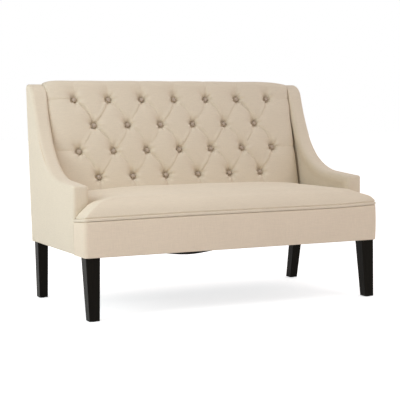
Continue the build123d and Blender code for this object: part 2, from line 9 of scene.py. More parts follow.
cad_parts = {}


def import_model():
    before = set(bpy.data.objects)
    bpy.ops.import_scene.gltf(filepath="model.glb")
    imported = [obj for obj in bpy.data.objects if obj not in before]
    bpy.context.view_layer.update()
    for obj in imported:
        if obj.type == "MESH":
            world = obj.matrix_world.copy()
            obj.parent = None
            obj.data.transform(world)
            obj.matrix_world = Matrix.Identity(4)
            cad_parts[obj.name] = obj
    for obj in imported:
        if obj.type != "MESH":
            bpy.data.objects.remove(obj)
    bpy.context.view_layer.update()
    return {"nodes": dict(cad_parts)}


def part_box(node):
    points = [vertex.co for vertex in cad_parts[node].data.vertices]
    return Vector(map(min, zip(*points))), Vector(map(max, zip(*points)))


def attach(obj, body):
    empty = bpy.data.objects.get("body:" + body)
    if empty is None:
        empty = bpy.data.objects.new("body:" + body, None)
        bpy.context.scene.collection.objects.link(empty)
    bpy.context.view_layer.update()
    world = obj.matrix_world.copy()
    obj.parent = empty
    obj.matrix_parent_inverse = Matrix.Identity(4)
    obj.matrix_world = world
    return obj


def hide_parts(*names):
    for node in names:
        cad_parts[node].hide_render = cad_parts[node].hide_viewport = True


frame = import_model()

# -------- sizes from the frame
HALF, _, PANEL_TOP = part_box("outside_back")[1]
_, FACE_Y, BODY_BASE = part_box("apron_band")[0]
APRON_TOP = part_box("apron_band")[1][2]
WELT_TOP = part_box("seat_welt")[1][2]
ARM_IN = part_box("inner_arm_right")[0][0]
ARM_FRONT_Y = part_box("arm_boxing_right")[0][1]
WING_STUFFING = 0.003  # the wing's top stands a little above its solid
WING_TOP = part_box("arm_boxing_right")[1][2] + WING_STUFFING
PAD_HALF, REAR_Y, PAD_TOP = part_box("back_pad")[1]
PAD_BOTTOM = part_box("back_pad")[0][2]

# -------- driving sizes of the forms
REAR_SLOPE = math.tan(math.radians(4.1))
PAD_RAKE = math.radians(14.14)
PAD_FACE = (0.198, 0.478)  # a point of the inside back: forwards of the rearmost line, above the floor
COVER = 0.006
CORNER_R = 0.017
PAD_FRONT_R = 0.034
PAD_REAR_R = 0.020

# Arm and wing outline, as in the solid model; points are forwards of the rearmost line and above the floor
ARM_FRONT_Z = 0.527
ARM_CORNER_R = 0.009
SWOOP_START = (0.422, 0.540)
SWOOP_END = (0.167, 0.705)
WING_NECK = (0.086, 0.890)
WING_REAR_R = 0.016

# -------- colours, linear
LINEN = (0.771, 0.69, 0.556)
# the apron's copy of the linen, painted lighter and warmer than the same cloth elsewhere: painted light from
# the front
LINEN_APRON_PAINTED_LIGHT = (0.815, 0.71, 0.568)
# the seat's copy of the linen, painted lighter than the same cloth elsewhere: painted light from above
LINEN_SEAT_PAINTED_TOP_LIGHT = (0.81, 0.725, 0.582)
# the buttons' copy of the linen, painted darker for the shade in the dimples: painted shade
LINEN_BUTTON_PAINTED_SHADE = (0.52, 0.44, 0.36)
SHEEN_TINT = (1.0, 0.96, 0.9, 1.0)
LEG_STAIN = (0.0065, 0.0055, 0.004)
PINE = (0.62, 0.43, 0.25)
BIRCH = (0.66, 0.50, 0.33)
STEEL = (0.55, 0.55, 0.56)
ELASTIC = (0.10, 0.085, 0.07)
COTTON = (0.55, 0.47, 0.34)
BLACK_CLOTH = (0.012, 0.012, 0.013)
BLACK_PLASTIC = (0.02, 0.02, 0.02)

# Pitches of threads and veneers
LINEN_PITCH = 0.0011
STRAP_PITCH = 0.004
DECK_PITCH = 0.0016
DUST_PITCH = 0.0014
VENEER = 0.003


# -------- material helpers
WAVE_RATE = 20.0  # radians per metre of a wave texture at scale 1


class Graph:
    """Small helper that adds and links the nodes of one tree."""

    def __init__(self, tree):
        self.tree = tree
        tree.nodes.clear()

    def feed(self, socket, value):
        """Link an input to another node's output, or set it to a plain value."""
        if isinstance(value, bpy.types.NodeSocket):
            self.tree.links.new(value, socket)
        else:
            socket.default_value = value

    def set(self, node, **named):
        """Feed inputs by name, with _ for a space."""
        for name, value in named.items():
            self.feed(node.inputs[name.replace("_", " ")], value)

    def add(self, kind, *ordered, settings=None, **named):
        """New node, with its inputs fed in their order or by name."""
        node = self.tree.nodes.new(kind)
        for key, value in (settings or {}).items():
            setattr(node, key, value)
        for socket, value in zip(node.inputs, ordered):
            self.feed(socket, value)
        self.set(node, **named)
        return node

    def math(self, operation, *values):
        return self.add("ShaderNodeMath", *values, settings={"operation": operation}).outputs[0]

    def white_to_camera(self, dim, bright):
        """Mix of a lighting shader and a plain one that only the camera, reflections and refractions see."""
        path = self.add("ShaderNodeLightPath")
        seen = path.outputs["Is Camera Ray"]
        for ray in ("Is Glossy Ray", "Is Transmission Ray"):
            seen = self.math("MAXIMUM", seen, path.outputs[ray])
        return self.add("ShaderNodeMixShader", seen, dim, bright).outputs["Shader"]


class Surface(Graph):
    """Procedural material with one main shader."""

    def __init__(self, name):
        self.material = bpy.data.materials.new(name)
        self.material.use_nodes = True
        super().__init__(self.material.node_tree)
        self.shader = self.add("ShaderNodeBsdfPrincipled")
        self.output = self.add("ShaderNodeOutputMaterial", Surface=self.shader.outputs["BSDF"])
        self.place = self.add("ShaderNodeTexCoord").outputs["Object"]

    def noise(self, scale, detail=2.0, rough=0.5):
        """Noise from 0 to 1 on object coordinates scaled per axis."""
        place = self.add("ShaderNodeMapping", Vector=self.place, Scale=scale).outputs["Vector"]
        node = self.add("ShaderNodeTexNoise", Vector=place, Scale=1.0, Detail=detail, Roughness=rough)
        return node.outputs["Fac"]

    def thread(self, axis, pitch):
        """Sine bands across one axis with the given pitch."""
        bands = {"wave_type": "BANDS", "bands_direction": axis, "wave_profile": "SIN"}
        node = self.add("ShaderNodeTexWave", settings=bands, Vector=self.place, Distortion=0.6, Detail=1.0)
        self.set(node, Scale=math.tau / (WAVE_RATE * pitch))
        return node.outputs["Fac"]

    def weighed(self, a, weight_a, b, weight_b):
        """Sum of two values with their weights."""
        return self.math("ADD", self.math("MULTIPLY", a, weight_a), self.math("MULTIPLY", b, weight_b))

    def paint(self, value, color, low, high, span=(0.3, 0.7)):
        """Base colour: a colour times low up to times high, as a value crosses its span."""
        node = self.add("ShaderNodeValToRGB", Fac=value)
        for element, position, factor in zip(node.color_ramp.elements, span, (low, high)):
            element.position = position
            element.color = (*shade(color, factor), 1.0)
        self.set(self.shader, Base_Color=node.outputs["Color"])

    def bump(self, height, strength, distance):
        node = self.add("ShaderNodeBump", Height=height, Strength=strength, Distance=distance)
        self.set(self.shader, Normal=node.outputs["Normal"])

    def gloss(self, roughness, specular, **others):
        self.set(self.shader, Roughness=roughness, Specular_IOR_Level=specular, **others)


def shade(color, factor):
    return tuple(min(c * factor, 1.0) for c in color)


def linen(name, color):
    """Linen-look weave: crossing threads with slubs, soft sheen and slight colour drift."""
    n = Surface(name)
    slubs = n.math("ADD", n.noise((34.0, 34.0, 620.0)), n.noise((620.0, 620.0, 30.0)))
    drift = n.noise((5.0, 5.0, 5.0), detail=3.0)
    n.paint(n.weighed(slubs, 0.42, drift, 0.16), color, 0.94, 1.05, (0.34, 0.66))
    weft = n.math("ADD", n.thread("X", LINEN_PITCH), n.thread("Y", LINEN_PITCH))
    weave = n.math("ADD", weft, n.thread("Z", LINEN_PITCH))
    n.bump(n.math("ADD", n.math("MULTIPLY", weave, 0.5), slubs), 0.35, 0.0005)
    n.gloss(0.86, 0.22, Sheen_Weight=0.18, Sheen_Roughness=0.5, Sheen_Tint=SHEEN_TINT)
    return n.material


def timber(name, color, along):
    """Sawn wood with its grain along one axis."""
    n = Surface(name)
    fast, slow = 190.0, 7.0
    scale = tuple(slow if axis == along else fast for axis in "XYZ")
    grain = n.noise(scale, detail=5.0, rough=0.65)
    figure = n.noise(tuple(s * 0.16 for s in scale))
    n.paint(n.weighed(grain, 0.6, figure, 0.4), color, 0.62, 1.12, (0.32, 0.68))
    n.bump(grain, 0.3, 0.0006)
    n.gloss(0.6, 0.35)
    return n.material


def plywood(name, color):
    """Birch ply: veneers show as layers across its thickness, grain on the faces."""
    n = Surface(name)
    grain = n.noise((30.0, 160.0, 9.0), detail=5.0, rough=0.6)
    n.paint(n.weighed(grain, 0.7, n.thread("X", VENEER), 0.3), color, 0.66, 1.1)
    n.bump(grain, 0.25, 0.0004)
    n.gloss(0.62, 0.3)
    return n.material


def stained_leg(name, color):
    """Near-black stain on straight-grained wood, satin, a little lighter where it is rubbed."""
    n = Surface(name)
    grain = n.noise((230.0, 230.0, 6.0), detail=6.0, rough=0.7)
    rubbed = n.noise((14.0, 14.0, 5.0), detail=4.0)
    n.paint(n.weighed(grain, 0.55, rubbed, 0.45), color, 1.0, 2.4, (0.42, 0.82))
    n.bump(grain, 0.22, 0.0004)
    n.gloss(0.36, 0.05)
    return n.material


def metal(name, color, roughness):
    """Zinc-plated steel with fine rolling lines."""
    n = Surface(name)
    lines = n.noise((900.0, 40.0, 900.0), detail=3.0)
    spots = n.noise((60.0, 60.0, 60.0), detail=4.0)
    n.paint(n.weighed(lines, 0.5, spots, 0.5), color, 0.78, 1.15)
    n.bump(lines, 0.12, 0.0002)
    n.gloss(roughness, 0.5, Metallic=1.0)
    return n.material


def plastic(name, color):
    """Moulded plastic with a fine grain."""
    n = Surface(name)
    grain = n.noise((700.0, 700.0, 700.0))
    n.paint(grain, color, 0.8, 1.5)
    n.bump(grain, 0.2, 0.0003)
    n.gloss(0.5, 0.4)
    return n.material


def strap_cloth(name, color, pitch):
    """Coarse woven strap or plain cloth."""
    n = Surface(name)
    ribs = n.math("ADD", n.thread("X", pitch), n.thread("Y", pitch))
    fuzz = n.noise((260.0, 260.0, 260.0), detail=3.0)
    n.paint(n.weighed(ribs, 0.25, fuzz, 0.5), color, 0.7, 1.25)
    n.bump(n.math("ADD", ribs, fuzz), 0.4, 0.0006)
    n.gloss(0.9, 0.2, Sheen_Weight=0.1)
    return n.material


# -------- mesh helpers
def new_object(name, data):
    item = bpy.data.objects.new(name, data)
    bpy.context.scene.collection.objects.link(item)
    return item


def dress(piece, material):
    piece.data.materials.clear()
    piece.data.materials.append(material)
    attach(piece, "root")
    return piece


def merge_points(mesh, distance, outwards=False):
    """Merge points that lie closer than a distance, and turn the faces outwards if asked."""
    bm = bmesh.new()
    bm.from_mesh(mesh)
    bmesh.ops.remove_doubles(bm, verts=bm.verts, dist=distance)
    if outwards:
        bmesh.ops.recalc_face_normals(bm, faces=bm.faces)
    bm.to_mesh(mesh)
    bm.free()


def new_piece(name, vertices, faces, material):
    """Object from vertices and faces, smooth shaded, normals outwards, riding on the one body."""
    mesh = bpy.data.meshes.new(name)
    mesh.from_pydata([tuple(v) for v in vertices], [], [tuple(f) for f in faces])
    mesh.validate()
    merge_points(mesh, 2e-5, outwards=True)
    mesh.shade_smooth()
    return dress(new_object(name, mesh), material)


def copied(name, node, material):
    """A new object with a copy of a solid's mesh."""
    piece = new_object(name, frame["nodes"][node].data.copy())
    merge_points(piece.data, 1e-5)
    return dress(piece, material)


def apply_modifiers(piece):
    """Bake an object's modifiers into its mesh."""
    graph = bpy.context.evaluated_depsgraph_get()
    mesh = bpy.data.meshes.new_from_object(piece.evaluated_get(graph))
    piece.modifiers.clear()
    old = piece.data
    piece.data = mesh
    bpy.data.meshes.remove(old)


def modified(piece, kind, **settings):
    """Run one modifier on an object's mesh."""
    modifier = piece.modifiers.new(kind, kind)
    for key, value in settings.items():
        setattr(modifier, key, value)
    apply_modifiers(piece)


def vertex_values(piece, kind):
    """Positions or normals of all vertices, one row each."""
    values = np.empty(len(piece.data.vertices) * 3)
    piece.data.vertices.foreach_get(kind, values)
    return values.reshape(-1, 3)


def positions(piece):
    return vertex_values(piece, "co")


def set_positions(piece, points):
    piece.data.vertices.foreach_set("co", np.asarray(points, float).ravel())
    piece.data.update()


def grid_faces(rows, columns, closed=False):
    """Quads over a grid of rows and columns, closed in the row direction if asked."""
    faces = []
    last = columns if closed else columns - 1
    for r in range(rows - 1):
        for c in range(last):
            d = (c + 1) % columns
            a, b = r * columns, (r + 1) * columns
            faces.append((a + c, a + d, b + d, b + c))
    return faces


def shifted(faces, start):
    """The same faces over vertices that come after start others."""
    return [tuple(i + start for i in face) for face in faces]


def waviness(points, size, amount, seed=0.0):
    """Smooth unevenness of stretched cloth, one value per point."""
    shift = Vector((seed, seed * 0.7, -seed))
    return np.array([noise.noise(Vector(p) / size + shift) for p in points]) * amount


def rise(value, start, end):
    """Share of the way from start to end, kept from 0 to 1."""
    return np.clip((value - start) / (end - start), 0, 1)


def bell(value, centre, width):
    """Smooth hump of height 1 around a centre."""
    return np.exp(-(((value - centre) / width) ** 2))


# -------- outlines
OUTLINE_STEP = 0.006
TINY = 1e-12


def tangent_arc(start, heading, end, step=OUTLINE_STEP):
    """Points after start on the arc that leaves start along heading and ends at end, and its last heading."""
    start, heading, end = np.array(start), np.array(heading), np.array(end)
    normal = np.array((-heading[1], heading[0]))
    chord = end - start
    sweep = 2 * math.atan2(chord @ normal, chord @ heading)
    radius = (chord @ chord) / (2 * (chord @ normal))
    count = max(int(abs(radius * sweep) / step), 2)
    points = []
    for i in range(1, count + 1):
        a = sweep * i / count
        points.append(tuple(start + radius * (math.sin(a) * heading + (1 - math.cos(a)) * normal)))
    return points, math.cos(sweep) * heading + math.sin(sweep) * normal


def rounded(before, corner, after, radius, steps=6):
    """Arc that replaces a corner between two straight stretches."""
    before, corner, after = (np.array(p, float) for p in (before, corner, after))
    a = (before - corner) / np.linalg.norm(before - corner)
    b = (after - corner) / np.linalg.norm(after - corner)
    half = math.acos(np.clip(a @ b, -1, 1)) / 2
    reach = radius / math.tan(half)
    points, _ = tangent_arc(corner + a * reach, -a, corner + b * reach, 2 * reach / steps)
    return [tuple(corner + a * reach)] + points


def rounded_line(a, b, c, d, radii, steps):
    """Line from a to d with arcs in place of its corners b and c."""
    return [a] + rounded(a, b, c, radii[0], steps[0]) + rounded(b, c, d, radii[1], steps[1]) + [d]


def resample(loop, step):
    """Closed loop cut into even parts of about one step between its own points."""
    result = []
    for a, b in zip(loop, loop[1:] + loop[:1]):
        a, b = np.array(a), np.array(b)
        parts = max(int(round(np.linalg.norm(b - a) / step)), 1)
        result += [a + (b - a) * k / parts for k in range(parts)]
    return np.array(result)


def rear_y(z, inset=0.0):
    """Y of the raked outside back at height z."""
    return REAR_Y + (z - (PAD_TOP - PAD_REAR_R)) * REAR_SLOPE - inset


def pad_y(z):
    """Y of the raked inside back at height z."""
    return REAR_Y - PAD_FACE[0] + (z - PAD_FACE[1]) * math.tan(PAD_RAKE)


def arm_outline(base, rear_inset=0.0):
    """Side outline (Y, Z) of arm and wing above base: flat arm, concave swoop, raked wing, round top."""
    front_low = (ARM_FRONT_Y, base)
    front_top = (ARM_FRONT_Y, ARM_FRONT_Z)
    swoop_start = (REAR_Y - SWOOP_START[0], SWOOP_START[1])
    heading = np.array(swoop_start) - np.array(front_top)
    heading = heading / np.linalg.norm(heading)
    swoop, heading = tangent_arc(swoop_start, heading, (REAR_Y - SWOOP_END[0], SWOOP_END[1]))
    neck = (REAR_Y - WING_NECK[0], WING_NECK[1])
    wing, heading = tangent_arc(swoop[-1], heading, neck)
    shoulder_r = (WING_TOP - neck[1]) / (1 - heading[0])
    shoulder, _ = tangent_arc(wing[-1], heading, (neck[0] + shoulder_r * heading[1], WING_TOP))
    rear_top = (rear_y(WING_TOP, rear_inset), WING_TOP)
    rear_low = (rear_y(base, rear_inset), base)
    points = [front_low] + rounded(front_low, front_top, swoop_start, ARM_CORNER_R)
    points += [swoop_start] + swoop + wing + shoulder
    return points + rounded(shoulder[-1], rear_top, rear_low, WING_REAR_R - rear_inset) + [rear_low]


def right_normals(ahead):
    """Unit normals to the right of each heading."""
    normals = np.stack((ahead[:, 1], -ahead[:, 0]), axis=1)
    return normals / np.linalg.norm(normals, axis=1)[:, None]


def loop_normals(loop):
    """Outward unit normals of a closed loop that runs clockwise or not."""
    normals = right_normals(np.roll(loop, -1, axis=0) - np.roll(loop, 1, axis=0))
    area = np.sum(loop[:, 0] * np.roll(loop[:, 1], -1) - np.roll(loop[:, 0], -1) * loop[:, 1])
    return normals if area > 0 else -normals


def distance_to_loop(points, loop):
    """Distance of each point to a closed loop, and the index of the nearest stretch."""
    edges = np.roll(loop, -1, axis=0) - loop
    squares = np.maximum(np.sum(edges * edges, axis=1), TINY)
    best = np.full(len(points), np.inf)
    nearest = np.zeros(len(points), int)
    for i, (a, edge, square) in enumerate(zip(loop, edges, squares)):
        t = np.clip((points - a) @ edge / square, 0, 1)
        gap = np.linalg.norm(points - a - t[:, None] * edge, axis=1)
        nearest[gap < best] = i
        best = np.minimum(best, gap)
    return best, nearest


def inside_loop(points, loop):
    """True for points inside a closed loop."""
    inside = np.zeros(len(points), bool)
    for p, q in zip(loop, np.roll(loop, -1, axis=0)):
        if abs(q[1] - p[1]) < TINY:
            continue
        crosses = (p[1] > points[:, 1]) != (q[1] > points[:, 1])
        x = p[0] + (points[:, 1] - p[1]) / (q[1] - p[1]) * (q[0] - p[0])
        inside ^= crosses & (points[:, 0] < x)
    return inside


# -------- boxed pads
SEAM_INSET = 0.0030  # how far a sewn edge draws in from both faces
SEAM_SPREAD = 0.0036
ROLL_SHARE = 1 - math.sqrt(0.5)  # inset of a rolled edge's middle, in radii
FACE_RINGS = (0.0, 0.0009, 0.0022, 0.0042, 0.0075)
FACE_GRID = 0.011
BOXING_RINGS = (0.0, 0.0009, 0.0022, 0.0042, 0.0065, 0.0095, 0.0135, 0.021)
SEWN_SWELL = 0.035  # how slowly a face swells away from a sewn edge
ROLLED_SWELL = 0.03  # how far from a rolled edge a face has swollen fully
WAVE_SIZE = 0.16


def seam_fall(distance):
    """Rounding of a stuffed face towards a sewn edge."""
    return SEAM_INSET * np.exp(-(distance - SEAM_INSET) / SEAM_SPREAD)


def roll_fall(distance, radius):
    """Rounding of a face towards an edge that is rolled over."""
    short = np.clip(radius - distance, 0, radius)
    return radius - np.sqrt(radius**2 - short**2)


def face_sheet(loop):
    """Triangles over a seam loop: rings beside the seam, an even grid further in."""
    normals = loop_normals(loop)
    low, high = loop.min(axis=0), loop.max(axis=0)
    us = np.arange(low[0] + FACE_GRID / 2, high[0], FACE_GRID)
    vs = np.arange(low[1] + FACE_GRID / 2, high[1], FACE_GRID)
    grid = np.stack(np.meshgrid(us, vs), axis=-1).reshape(-1, 2)
    grid = grid[inside_loop(grid, loop)]
    grid = grid[distance_to_loop(grid, loop)[0] > FACE_RINGS[-1] + FACE_GRID * 0.45]
    keep = [loop]
    for depth in FACE_RINGS[1:]:
        ring = loop - normals * depth
        clear = inside_loop(ring, loop) & (distance_to_loop(ring, loop)[0] > depth * 0.8)
        keep.append(ring[clear])
    points = np.concatenate(keep + [grid])
    count = len(loop)
    edges = [(i, (i + 1) % count) for i in range(count)]
    vertices, _, faces, *_ = delaunay_2d_cdt([Vector(p) for p in points], edges, [], 1, 1e-7)
    return np.array([tuple(v) for v in vertices]), [tuple(f) for f in faces]


def stuffed_face(rim, drawn, radius, swelling, wave, depth):
    """Flat points and triangles of one face, and how far each point stands out; depth varies its waves."""
    flat, triangles = face_sheet(rim)
    away, nearest = distance_to_loop(flat, rim)
    away = away + drawn[nearest]
    if radius is None:
        fall, swell = seam_fall(away), 1 - np.exp(-(away - SEAM_INSET) / SEWN_SWELL)
    else:
        fall, swell = roll_fall(away, radius[nearest]), rise(away - radius[nearest], 0, ROLLED_SWELL) ** 2
    uneven = waviness([(u, v, depth) for u, v in flat], WAVE_SIZE, wave) * swell
    return flat, triangles, swelling * swell - fall + uneven


def boxed_pad(
    name, outline, low, high, place, material, puff, rolls=(None, None), wave=0.0008, inset=0.0
):
    """Closed pad: two faces over an outline and a boxing band between them, drawn in at both edges.

    place turns (u, v, w) into X, Y, Z, with w running from low to high; puff and rolls are for the low and
    the high face. An edge is sewn, or a roll gives it a radius at each point; inset shrinks it all.
    """
    loop = resample(outline, OUTLINE_STEP)
    normals = loop_normals(loop)
    loop = loop - normals * inset
    radii = [roll(normals, loop) if roll else None for roll in rolls]
    insets = [np.full(len(loop), SEAM_INSET) if radius is None else radius * ROLL_SHARE for radius in radii]
    vertices, faces = [], []
    for level, out, swelling, drawn, radius in zip((low, high), (-1, 1), puff, insets, radii):
        rim = loop - normals * drawn[:, None]
        flat, triangles, proud = stuffed_face(rim, drawn, radius, swelling, wave, low)
        faces += shifted(triangles, len(vertices))
        vertices += [place(u, v, w) for (u, v), w in zip(flat, level + out * proud)]
    start = len(vertices)
    middle = (high - low) / 2
    depths = [d for d in BOXING_RINGS if d < middle - max(drawn.max() for drawn in insets) - 0.001]

    def boxing_ring(edge, depth):
        draw = seam_fall(depth) * (depth < middle) if radii[edge] is None else roll_fall(depth, radii[edge])
        level = high - depth if edge else low + depth
        return [place(u, v, w) for (u, v), w in zip(loop - normals * draw[:, None], level)]

    for depth in depths:
        vertices += boxing_ring(0, insets[0] + depth)
    vertices += boxing_ring(1, np.full(len(loop), middle))
    for depth in reversed(depths):
        vertices += boxing_ring(1, insets[1] + depth)
    faces += shifted(grid_faces(2 * len(depths) + 1, len(loop), closed=True), start)
    return new_piece(name, vertices, faces, material)


CRISP_R = 0.003  # edges that face the rear
INNER_ROLL = ((0.80, 0.90), (0.020, 0.006))  # heights, and the radius at each
OUTER_ROLL = ((0.53, 0.62, 0.80, 0.92), (0.011, 0.021, 0.018, 0.012))


def arm_roll(heights, sizes):
    """Front and top edges rolled to a radius given at some heights, crisp at the rear."""

    def radii(normals, loop):
        front = rise(normals[:, 0], 0.75, 0.25)
        front = np.convolve(np.concatenate((front[-2:], front, front[:2])), np.full(5, 0.2), "valid")
        return CRISP_R + (np.interp(loop[:, 1], heights, sizes) - CRISP_R) * front

    return radii


def arm_covers(material):
    """Stuffed arm and wing, and the stretched panel outside it, on both sides."""
    for side, word in ((-1, "left"), (1, "right")):

        def place(u, v, w, side=side):
            return (side * w, u, v)

        pad = boxed_pad(
            f"arm_pad_{word}", arm_outline(APRON_TOP, 0.004), ARM_IN, HALF - 0.0012, place, material,
            puff=(-0.008, -0.005), rolls=(arm_roll(*INNER_ROLL), arm_roll(*OUTER_ROLL)),
        )
        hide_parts(f"inner_arm_{word}", f"arm_boxing_{word}")
        panel = boxed_pad(
            f"outside_panel_{word}", arm_outline(BODY_BASE, 0.0012), HALF - 0.027, HALF - 0.0003, place,
            material, puff=(0.0, 0.0014), rolls=(None, arm_roll(*OUTER_ROLL)), inset=0.0006,
        )
        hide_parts(f"outside_arm_{word}")


def outside_back(material):
    """Stretched panel over the rear, from the underside up to the seam below the top."""
    slope = math.hypot(1.0, REAR_SLOPE)
    height = (PANEL_TOP - BODY_BASE) * slope
    lean = Vector((0.0, REAR_SLOPE, 1.0)) / slope
    out = Vector((0.0, 1.0, -REAR_SLOPE)) / slope

    def place(u, v, w):
        return Vector((u, rear_y(BODY_BASE), BODY_BASE)) + lean * v + out * w

    outline = [(-HALF, 0.0), (HALF, 0.0), (HALF, height), (-HALF, height)]
    panel = boxed_pad(
        "outside_back_panel", outline, -COVER, 0.0, place, material,
        puff=(0.0, 0.0022), wave=0.0014,
    )
    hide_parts("outside_back")


# -------- apron and welt
PLAN_STEP = 0.008
HEM_LEVEL = 0.04  # up to here the apron keeps level, above it follows its seam
HEM_ROLL = 0.005
APRON_BULGE = 0.0016
WELT_GAP = 0.0008  # between the welt and each seam
WELT_PROUD = 0.0008
WELT_EDGE = 0.0045  # depth of the two sewn lines
WELT_BACK = 0.0075


def plan_path():
    """Plan of the apron from the left arm front round the two front corners to the right one."""
    corners = [(-HALF, ARM_FRONT_Y), (-HALF, FACE_Y), (HALF, FACE_Y), (HALF, ARM_FRONT_Y)]
    points = rounded_line(*corners, (CORNER_R, CORNER_R), (9, 9))
    path = [np.array(points[0])]
    for target in np.array(points[1:]):
        origin = path[-1]
        parts = max(int(np.linalg.norm(target - origin) / PLAN_STEP), 1)
        path += [origin + (target - origin) * k / parts for k in range(1, parts + 1)]
    return np.array(path)


def seam_lift(x, y):
    """How far the seam above the apron strays from level: down on the left return, up at the right end."""
    left = rise(-x, 0.25, HALF) * (0.0045 + 0.010 * rise(y, FACE_Y, ARM_FRONT_Y))
    return 0.0075 * rise(x, 0.38, HALF) ** 2 - left


def swept(name, profile, material, wave):
    """Closed profile of (outwards, height) swept along the apron's plan, with capped ends."""
    path = plan_path()
    vertices = []
    for point, normal in zip(path, right_normals(np.gradient(path, axis=0))):
        for out, z in profile:
            sway = wave * noise.noise(Vector((point[0], point[1], z)) / 0.12)
            spot = point + normal * (out + sway)
            share = rise(z, BODY_BASE + HEM_LEVEL, APRON_TOP)
            vertices.append((spot[0], spot[1], z + share * seam_lift(point[0], point[1])))
    count = len(profile)
    faces = grid_faces(len(path), count, closed=True)
    faces.append(tuple(range(count)))
    faces.append(tuple(range((len(path) - 1) * count, len(path) * count)))
    return new_piece(name, vertices, faces, material)


def apron(material):
    """Cover of the apron: nearly flat, rolled under at its lower edge."""
    profile = []
    for i in range(7):
        a = math.pi / 2 * i / 6
        profile.append((-HEM_ROLL + HEM_ROLL * math.sin(a), BODY_BASE + HEM_ROLL - HEM_ROLL * math.cos(a)))
    height = APRON_TOP - BODY_BASE - HEM_ROLL - 0.003
    steps = 16
    for i in range(1, steps):
        t = i / steps
        profile.append((APRON_BULGE * math.sin(math.pi * t), BODY_BASE + HEM_ROLL + height * t))
    profile += [(-0.0004, APRON_TOP - 0.003), (-0.0015, APRON_TOP - 0.001), (-0.004, APRON_TOP)]
    profile += [(-COVER, APRON_TOP), (-COVER, BODY_BASE)]
    band = swept("apron_cover", profile, material, wave=0.0009)
    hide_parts("apron_band")


def welt(material):
    """Flat band between apron and seat, between two sewn lines."""
    middle, half = (APRON_TOP + WELT_TOP) / 2, (WELT_TOP - APRON_TOP) / 2 - WELT_GAP
    profile = [(-WELT_BACK, middle + half), (-WELT_BACK, middle - half), (-WELT_EDGE, middle - half)]
    steps = 10
    for i in range(1, steps):
        t = 2 * i / steps - 1
        profile.append(((WELT_PROUD + WELT_EDGE) * (1 - t**6) - WELT_EDGE, middle + half * t))
    profile.append((-WELT_EDGE, middle + half))
    band = swept("welt_band", profile, material, wave=0.0005)
    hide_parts("seat_welt")


# -------- seat
SEAT_VOXEL = 0.0075
SEAT_CAP = 0.006  # the most that pressure may move the cloth
SEAT_HELD = 0.004  # height of the held edge above the welt
SEAT_LEVEL = 0.48  # about the height of the seat's top
LAST_FRAME = 20
LEFT_SLOPE_X = (0.50, 0.56, 0.602, 0.679)  # distances left of the middle where the ear slopes down
LEFT_SLOPE_Z = (0.500, 0.484, 0.469, 0.423)
GROOVE_DEPTH = 0.0036
GROOVE_WIDTH = 0.0023


def pressurised(piece, cap, pinned):
    """Inflate a closed mesh a little with a cloth simulation; pinned vertices stay where they are."""
    start = positions(piece)
    group = piece.vertex_groups.new(name="pinned")
    group.add([int(i) for i in np.flatnonzero(pinned)], 1.0, "REPLACE")
    cloth = piece.modifiers.new("Cloth", "CLOTH")
    settings = cloth.settings
    settings.vertex_group_mass = "pinned"
    settings.use_pressure = True
    settings.uniform_pressure_force = 4.0
    settings.tension_stiffness = 30.0
    settings.compression_stiffness = 30.0
    settings.effector_weights.gravity = 0.0
    cloth.collision_settings.use_collision = False
    scene = bpy.context.scene
    for number in range(1, LAST_FRAME + 1):
        scene.frame_set(number)
    apply_modifiers(piece)
    scene.frame_set(1)
    moved = positions(piece) - start
    length = np.linalg.norm(moved, axis=1)
    moved *= (np.minimum(length, cap) / np.maximum(length, 1e-9))[:, None]
    set_positions(piece, start + moved)
    piece.vertex_groups.clear()


def shape_ears(x, y, z):
    """Left ear pulled down to a slope, right ear full and a little wider."""
    ear = rise(y, ARM_FRONT_Y + 0.03, ARM_FRONT_Y)
    over = np.maximum(z - np.interp(-x, LEFT_SLOPE_X, LEFT_SLOPE_Z), 0)
    z = z - over * 0.9 * ear * (x < 0)
    crest = rise(z, WELT_TOP + 0.006, WELT_TOP + 0.026)
    z = z + 0.010 * rise(x, 0.61, 0.66) * crest * ear
    z = z - 0.003 * rise(x, 0.50, 0.58) * rise(x, 0.66, 0.63) * crest * ear
    out = rise(x, 0.62, 0.67) * np.clip(1 - (z - WELT_TOP - 0.008) / 0.024, 0.1, 1) * ear
    return x + 0.006 * out * (z > WELT_TOP), z, ear


def tuck_beside_arms(x, y, z):
    """Both sides drawn down along the arms, most in the pockets behind the arm fronts."""
    behind = rise(y, ARM_FRONT_Y - 0.010, ARM_FRONT_Y + 0.004)
    beside = np.exp(-np.maximum(ARM_IN - np.abs(x), 0) / np.where(x < 0, 0.032, 0.024)) * behind
    pocket = rise(y, ARM_FRONT_Y + 0.18, ARM_FRONT_Y + 0.08)
    rear = rise(y, pad_y(SEAT_LEVEL) - 0.02, pad_y(SEAT_LEVEL) - 0.10)
    tuck = np.where(x < 0, 0.016 + 0.050 * pocket, 0.024 + 0.006 * pocket) * (0.25 + 0.75 * rear)
    return z - tuck * beside * rise(z, 0.43, 0.46)


def seat_corners(points):
    """Corners, sides and seam of the seat, which aren't the same at its left and right."""
    x, y, z = points.T
    x, z, ear = shape_ears(x, y, z)
    z = tuck_beside_arms(x, y, z)
    z = z + seam_lift(x, y) * rise(z, WELT_TOP + 0.05, WELT_TOP) * ear
    return np.stack((x, y, z), axis=1)


def draw_in_seam(piece):
    """Groove of the sewn line between the seat and the welt."""
    points = positions(piece)
    level = points[:, 2] - seam_lift(points[:, 0], points[:, 1])
    depth = GROOVE_DEPTH * bell(level, WELT_TOP + 0.001, GROOVE_WIDTH)
    points[:, :2] -= vertex_values(piece, "normal")[:, :2] * depth[:, None]
    set_positions(piece, points)


